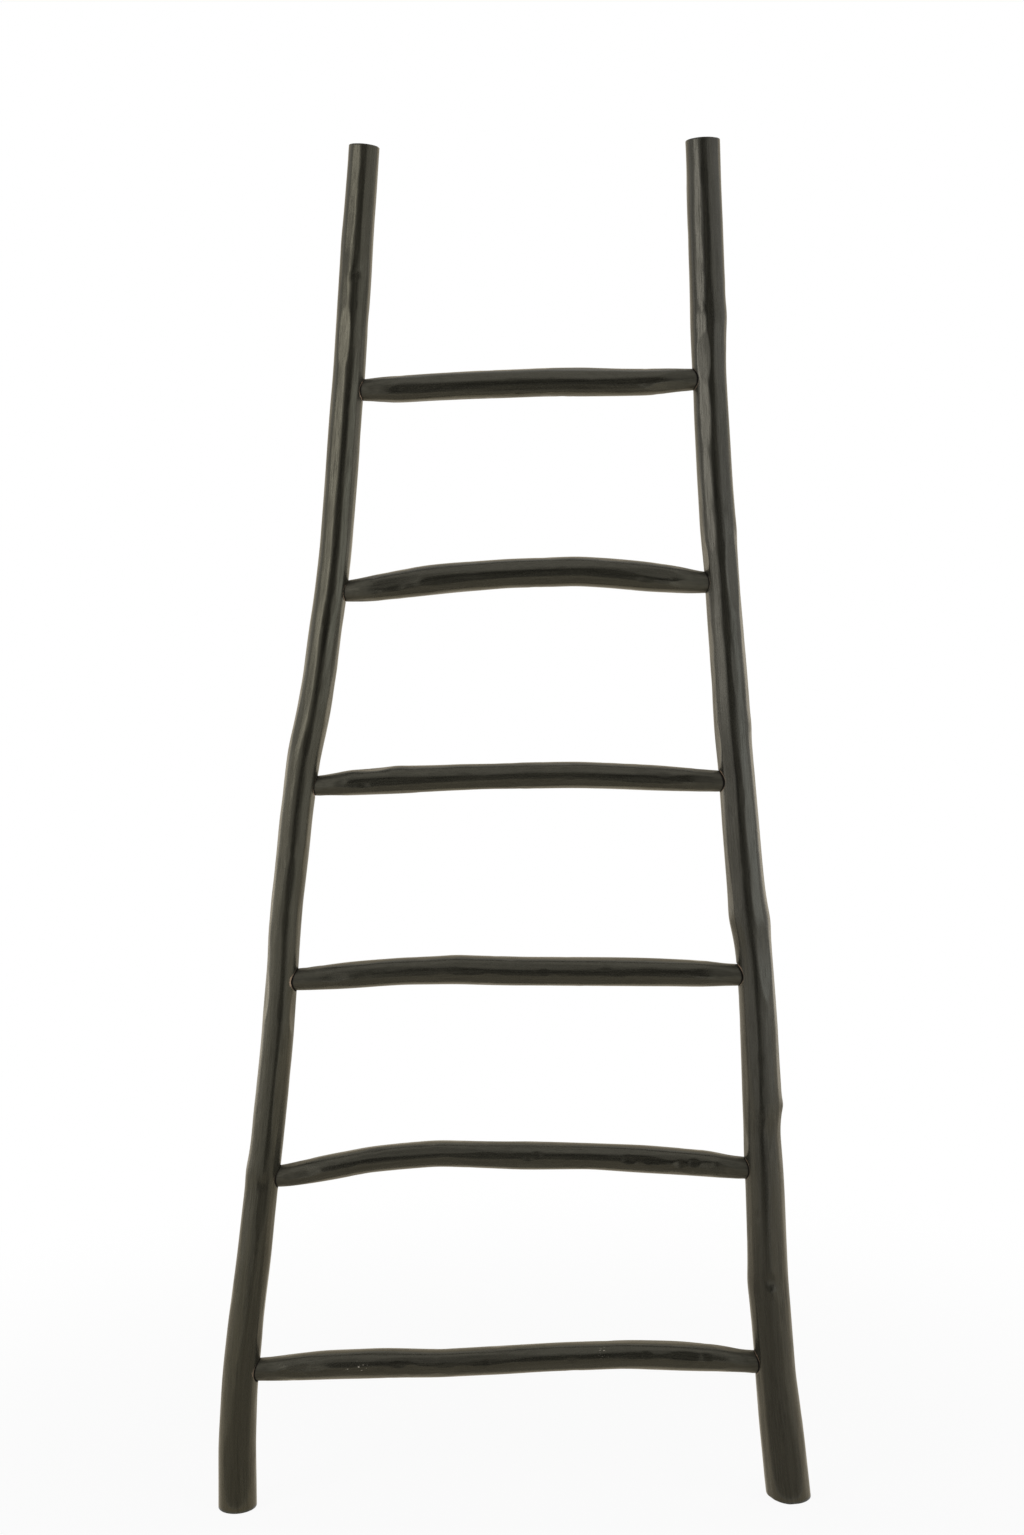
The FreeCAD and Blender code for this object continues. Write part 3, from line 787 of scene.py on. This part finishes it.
def stainedWood(name, look):
    finish, start = newFinish(name)

    def layer(title, out="Fac"):
        return start.make("ShaderNodeAttribute", {"attribute_name": title}, None, out)

    grain = layer("grain", "Vector")
    mouth = layer("mouth")
    sawn = layer("sawn")
    pale = layer("pale")
    fleck = layer("fleck")
    streak, fibre, cloud, pore, missed = [
        grain.along(*stainGrain[kind]) for kind in ("streak", "fibre", "cloud", "pore", "missed")]

    # colour: stain in streaks, thin and brown where worn, rings on the sawn ends
    worn = cloud.step(*stainMarks["wornCloud"]) * streak.step(*stainMarks["wornStreak"])
    tone = streak * (1 - stainShares["fibre"]) + fibre * stainShares["fibre"]
    body = tone.step(*stainMarks["tone"]).blend(look["deep"], look["thin"])
    body = (worn * stainShares["worn"]).blend(body, look["brown"])
    rings = start.make("ShaderNodeTexWave", {"wave_type": "RINGS", "rings_direction": "Z"},
                       {"Vector": grain, **sawnRings})
    body = sawn.blend(body, (rings * stainShares["rings"]).blend(look["sawn"], look["deep"]))

    # bare wood at the chipped rims, and spots that the stain missed
    chip = ragged["chip"] + (grain.noise(*stainGrain["chip"]) - 0.5) * ragged["chipWander"]
    bare = (mouth - chip).step(*stainMarks["bare"]) * (1 - sawn) * pale
    missed = missed.step(*stainMarks["missed"]) * fleck.step(*stainMarks["fleck"])
    body = (bare * stainShares["bare"]).blend(body, look["bare"])
    body = missed.blend(body, look["missed"])

    # roughness, duller where an end was whittled
    whittled = (mouth + (cloud - 0.5) * ragged["whittleWander"]).step(*stainMarks["whittled"])
    whittled = whittled * look["endWear"]
    rough = look["gloss"] + (streak - 0.5) * stainRough["streak"] + (cloud - 0.5) * stainRough["cloud"]
    rough = rough + sawn * stainRough["sawn"] + bare * stainRough["bare"]
    rough = rough + whittled * stainRough["whittled"]

    # relief of the fibres and pores
    relief = fibre * stainRelief["fibre"] + streak * stainRelief["streak"]
    relief = relief + pore.step(*stainMarks["pore"]) * stainRelief["pore"]
    relief = relief * (1 - sawn) + rings * sawn * stainRelief["rings"]
    normal = start.make("ShaderNodeBump", None, {
        "Strength": stainRelief["strength"], "Distance": stainRelief["depth"] * mm, "Height": relief})

    # satin stain, with dull streaks where it dried in
    coats = []
    for roughness, shine in zip((rough, rough + stainRough["dull"]), look["shine"]):
        coats.append(start.make("ShaderNodeBsdfPrincipled", None, {
            "Base Color": body, "Roughness": roughness, "Normal": normal,
            "Specular Tint": look["tint"], "Specular IOR Level": shine}))
    dry = grain.along(look["dryStretch"], *stainGrain["dry"]).step(*stainMarks["dry"])
    patchy = stainShares["dryLeast"] + cloud.step(*stainMarks["dryCloud"]) * stainShares["dryCloud"]
    wood = start.make("ShaderNodeMixShader", None, {0: dry * patchy * look["dry"], 1: coats[0], 2: coats[1]})

    # painted shade: a darker, duller band in the crack round a joint
    paintedCrackShade = start.make("ShaderNodeBsdfPrincipled", None, {
        "Base Color": look["paintedCrackShade"], "Roughness": 0.6, "Specular IOR Level": 0.1})
    # mask of the painted shade, a band about a millimetre wide round each joint and inside the holes
    crackShade = (mouth + (streak - 0.5) * ragged["crackShadeWander"]).step(*stainMarks["crackShade"])
    crackShade = crackShade * (1 - bare) * (1 - sawn)
    closeFinish(start, start.make("ShaderNodeMixShader", None, {0: crackShade, 1: wood, 2: paintedCrackShade}))
    return finish


steelLook = {
    "bright": (0.33, 0.32, 0.31, 1), "dark": (0.16, 0.14, 0.12, 1), "cloud": (900, 4, 0.6),
    "drawn": (4200, 2, 0.5), "drawnOut": (1, 0.05, 1), "mottle": (0.35, 0.7),
    "rough": 0.38, "roughMore": 0.25,
}


def bradSteel(name):
    finish, start = newFinish(name)
    place = start.make("ShaderNodeTexCoord", None, None, "Object")
    cloud = place.noise(*steelLook["cloud"])
    drawn = place.scaled(steelLook["drawnOut"]).noise(*steelLook["drawn"])
    body = cloud.step(*steelLook["mottle"]).blend(steelLook["bright"], steelLook["dark"])
    rough = steelLook["rough"] + cloud * steelLook["roughMore"]
    normal = start.make("ShaderNodeBump", None, {"Strength": 0.3, "Distance": 0.1 * mm, "Height": drawn})
    closeFinish(start, start.make("ShaderNodeBsdfPrincipled", None, {
        "Base Color": body, "Metallic": 1.0, "Roughness": rough, "Normal": normal}))
    return finish


leftLook = dict(stainLook, tint=(1.0, 0.945, 0.73, 1))
rightLook = dict(stainLook, tint=(1.0, 0.96, 0.82, 1), shine=(0.63, 0.34))
rungLook = dict(stainLook, shine=(0.8, 0.44), gloss=0.23, dry=0.7, dryStretch=0.14, endWear=1.0)
leftFinish = stainedWood("left_pole_stain", leftLook)
rightFinish = stainedWood("right_pole_stain", rightLook)
rungFinish = stainedWood("rung_stain", rungLook)
steelFinish = bradSteel("brad_steel_dull")


def dress(piece, finish):
    piece.data.materials.clear()
    piece.data.materials.append(finish)


for piece, node, finish in ((leftPiece, "left_stile", leftFinish), (rightPiece, "right_stile", rightFinish)):
    dress(piece, finish)
    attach(piece, "root")
    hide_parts(node)
for piece, spec in zip(rungPieces, rungs):
    dress(piece, rungFinish)
    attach(piece, "root")
    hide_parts(spec["node"])
for name in ("left_tenon_brads", "right_tenon_brads"):
    for holder in nodes[name].material_slots:
        holder.material = steelFinish
print("finishes on")


# Studio: pale floor, white surround, soft boxes at both sides and cards all round

studio = {
    "floorSize": 30, "floorTone": (0.9, 0.9, 0.9, 1), "worldFill": 0.35,
    "floorKeep": 0.93, "shadowReach": (0.5, 1.6),        # how white the floor stays, how far its shadow goes
    "aim": (0, 0, 0.95),
    # cards are seen only in the gloss of the wood: level is how bright they stand
    "cards": [
        {"name": "front_card", "place": (0.4, -4.3, 1.7), "size": (3.8, 3.4), "turn": 90,
         "level": 0.06},
        {"name": "upper_card", "place": (0.4, -4.3, 4.7), "size": (5.0, 2.6), "turn": 90,
         "level": 0.5},
        {"name": "ceiling_card", "place": (0.0, -1.3, 6.0), "size": (6.0, 6.0), "turn": 0,
         "level": 0.85},
        {"name": "near_floor_card", "place": (0.0, -0.37, 0.003), "size": (1.3, 0.66), "turn": 0,
         "level": 0.52, "colour": (1, 0.93, 0.8)},
        {"name": "mid_floor_card", "place": (0.0, -0.95, 0.003), "size": (1.1, 0.5), "turn": 0,
         "level": 0.6, "colour": (1, 0.95, 0.85)},
        {"name": "dim_floor_card", "place": (0.0, -1.6, 0.003), "size": (1.0, 0.8), "turn": 0,
         "level": 0.1, "colour": (1, 0.95, 0.85)},
        {"name": "left_floor_card", "place": (-1.45, -0.72, 0.003), "size": (1.6, 1.36), "turn": 0,
         "level": 0.95, "colour": (1, 0.94, 0.81)},
        {"name": "right_floor_card", "place": (1.45, -0.72, 0.003), "size": (1.6, 1.36), "turn": 0,
         "level": 0.95, "colour": (1, 0.94, 0.81)},
        {"name": "far_floor_card", "place": (0.0, -3.15, 0.003), "size": (1.6, 2.3), "turn": 0,
         "level": 0.12},
        {"name": "back_card", "place": (0.0, 3.2, 3.02), "size": (13.0, 6.0), "turn": 90,
         "level": 1.0, "colour": (1, 0.9, 0.72)},
        {"name": "back_floor_card", "place": (0.0, 1.532, 0.003), "size": (8.0, 3.136), "turn": 0,
         "level": 0.95, "colour": (1, 0.9, 0.72)},
    ],
    "boxes": [
        {"name": "left_box", "place": (-3.7, -3.0, 2.1), "size": (1.7, 2.4), "glow": 3.2,
         "colour": (1, 0.985, 0.96)},
        {"name": "right_box", "place": (3.4, -2.4, 1.3), "size": (2.6, 2.6), "glow": 1.4, "gloss": False},
        {"name": "left_low_box", "place": (-4.2, -0.6, 0.7), "size": (2.4, 1.3), "glow": 0.6,
         "colour": (1, 0.94, 0.82)},
        {"name": "right_low_box", "place": (3.6, -2.2, 0.9), "size": (2.8, 1.4), "glow": 1.2,
         "colour": (0.86, 0.95, 1)},
        {"name": "left_rim", "place": (-2.6, 1.6, 0.6), "size": (1.6, 1.6), "glow": 1.3,
         "colour": (1, 0.93, 0.8)},
        {"name": "right_rim", "place": (2.6, 1.6, 0.6), "size": (1.6, 1.6), "glow": 1.3,
         "colour": (1, 0.93, 0.8)},
    ],
}


def lookingRays(start):
    # 1 for the rays that look at a surface, 0 for those that only light the scene
    outs = start.make("ShaderNodeLightPath").socket.node.outputs
    eye, gloss, through = [
        Wire(start.tree, outs[kind]) for kind in ("Is Camera Ray", "Is Glossy Ray", "Is Transmission Ray")]
    return start.sum("MAXIMUM", start.sum("MAXIMUM", eye, gloss), through)


def makeWorld():
    world = bpy.data.worlds.new("studio")
    scene.world = world
    world.use_nodes = True
    world.node_tree.nodes.clear()
    start = Wire(world.node_tree, None)
    level = studio["worldFill"] + lookingRays(start) * (1 - studio["worldFill"])
    sky = start.make("ShaderNodeBackground", None, {"Color": (1, 1, 1, 1), "Strength": level})
    start.make("ShaderNodeOutputWorld", None, {"Surface": sky})


def makeFloor():
    # white to the eye, and a little darker in the shadow round the feet
    bm = bmesh.new()
    bmesh.ops.create_grid(bm, x_segments=1, y_segments=1, size=studio["floorSize"] / 2)
    floor = newPiece("studio_floor", bm)
    finish, start = newFinish("floor_white")
    lit = start.make("ShaderNodeBsdfDiffuse", None, {"Color": studio["floorTone"]})
    glow = start.make("ShaderNodeEmission", None, {"Color": (1, 1, 1, 1), "Strength": 1.0})
    place = start.make("ShaderNodeTexCoord", None, None, "Object")
    away = start.make("ShaderNodeVectorMath", {"operation": "LENGTH"}, {0: place}, "Value")
    keep = studio["floorKeep"] + away.step(*studio["shadowReach"]) * (1 - studio["floorKeep"])
    closeFinish(start, start.make("ShaderNodeMixShader", None, {
        0: lookingRays(start) * keep, 1: lit, 2: glow}))
    floor.data.materials.append(finish)


def makeCard(spec):
    bm = bmesh.new()
    bmesh.ops.create_grid(bm, x_segments=1, y_segments=1, size=0.5,
                          matrix=Matrix.Translation(spec["place"])
                          @ Matrix.Rotation(math.radians(spec["turn"]), 4, "X")
                          @ Matrix.Diagonal((*spec["size"], 1, 1)))
    card = newPiece(spec["name"], bm)
    finish, start = newFinish(spec["name"] + "_grey")
    closeFinish(start, start.make("ShaderNodeEmission", None, {
        "Color": (*spec.get("colour", (1, 1, 1)), 1), "Strength": spec["level"]}))
    card.data.materials.append(finish)
    card.visible_camera = False
    card.visible_diffuse = False
    card.visible_shadow = False


def makeBox(spec):
    light = bpy.data.lights.new(spec["name"], "AREA")
    light.shape = "RECTANGLE"
    light.size, light.size_y = spec["size"]
    light.color = spec.get("colour", (1, 1, 1))
    light.energy = spec["glow"] * math.pi * spec["size"][0] * spec["size"][1]
    box = bpy.data.objects.new(spec["name"], light)
    scene.collection.objects.link(box)
    box.location = spec["place"]
    aim = Vector(studio["aim"]) - Vector(spec["place"])
    box.rotation_euler = aim.to_track_quat("-Z", "Y").to_euler()
    box.visible_camera = False
    box.visible_glossy = spec.get("gloss", True)


makeWorld()
makeFloor()
for spec in studio["cards"]:
    makeCard(spec)
for spec in studio["boxes"]:
    makeBox(spec)

# eyeHeight in metres, roll in radians, middle of the picture and size of a pixel in mm
view = {"lens": 50, "sensor": 36, "eyeHeight": 1.2, "roll": 0.0192,
        "middle": (15.8, 972.7), "rows": 1535, "pixel": 1.327}


def makeCamera():
    # square on to the ladder; the lens shift keeps its sides upright
    tall = view["rows"] * view["pixel"] * mm
    away = tall * view["lens"] / view["sensor"]
    right = Vector((math.cos(view["roll"]), 0, -math.sin(view["roll"])))
    up = Vector((math.sin(view["roll"]), 0, math.cos(view["roll"])))
    middle = Vector((view["middle"][0] * mm, 0, view["middle"][1] * mm))
    shift = (middle.z - view["eyeHeight"]) / (tall * up.z)
    eye = middle - up * shift * tall + Vector((0, -away, 0))
    lens = bpy.data.cameras.new("photo_view")
    lens.lens = view["lens"]
    lens.sensor_width = view["sensor"]
    lens.shift_y = shift
    camera = bpy.data.objects.new("photo_view", lens)
    scene.collection.objects.link(camera)
    turned = Matrix((right, up, (0, -1, 0))).transposed().to_4x4()
    camera.matrix_world = Matrix.Translation(eye) @ turned
    scene.camera = camera


makeCamera()
scene.view_settings.view_transform = "Standard"
print("studio set")
